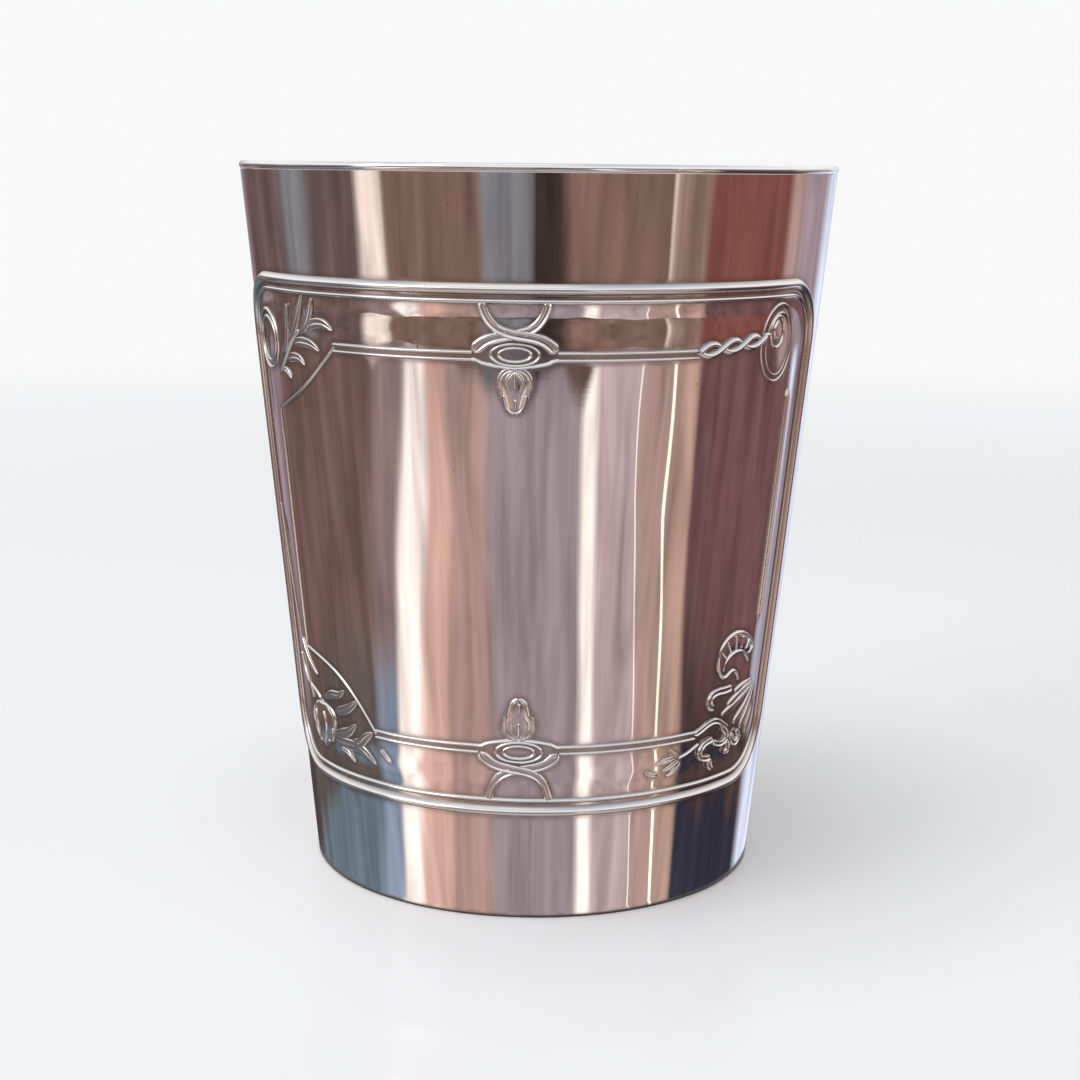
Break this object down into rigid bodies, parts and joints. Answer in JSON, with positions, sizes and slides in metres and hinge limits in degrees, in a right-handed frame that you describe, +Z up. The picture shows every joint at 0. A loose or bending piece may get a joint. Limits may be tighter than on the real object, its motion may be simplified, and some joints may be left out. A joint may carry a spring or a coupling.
{
  "type": "silver timbale",
  "caption": "Tapered silver drinking beaker with a soldered lip band, a flat let-in bottom and framed relief ornament panels on opposite sides.",
  "frame": {"origin": "on the table under the middle of the beaker", "axes": "+Z up along the beaker's axis, the middle of the front panel faces -Y, +X to the right of someone who faces that panel"},
  "size_m": [0.067, 0.067, 0.08],
  "materials": {
    "silver_wall": "polished silver sheet with fine wear scratches",
    "silver_bottom": "worn polished silver",
    "silver_lip": "polished silver",
    "silver_relief": "polished silver relief, darker in the recesses"
  },
  "bodies": {
    "root": {"wall": "silver_wall", "bottom": "silver_bottom", "lip_band": "silver_lip", "front_border_wire": "silver_relief", "front_border_line": "silver_relief", "front_inner_rail": "silver_relief", "front_upper_clasp": "silver_relief", "front_lower_clasp": "silver_relief", "front_upper_bud": "silver_relief", "front_lower_bud": "silver_relief", "front_leaf_spray": "silver_relief", "front_flower_spray": "silver_relief", "front_cord_roundel": "silver_relief", "front_shell_scroll": "silver_relief", "front_ribbon_knot": "silver_relief", "rear_border_wire": "silver_relief", "rear_border_line": "silver_relief", "rear_inner_rail": "silver_relief", "rear_upper_clasp": "silver_relief", "rear_lower_clasp": "silver_relief", "rear_upper_bud": "silver_relief", "rear_lower_bud": "silver_relief", "rear_leaf_spray": "silver_relief", "rear_flower_spray": "silver_relief", "rear_cord_roundel": "silver_relief", "rear_shell_scroll": "silver_relief", "rear_ribbon_knot": "silver_relief"}
  },
  "joints": []
}
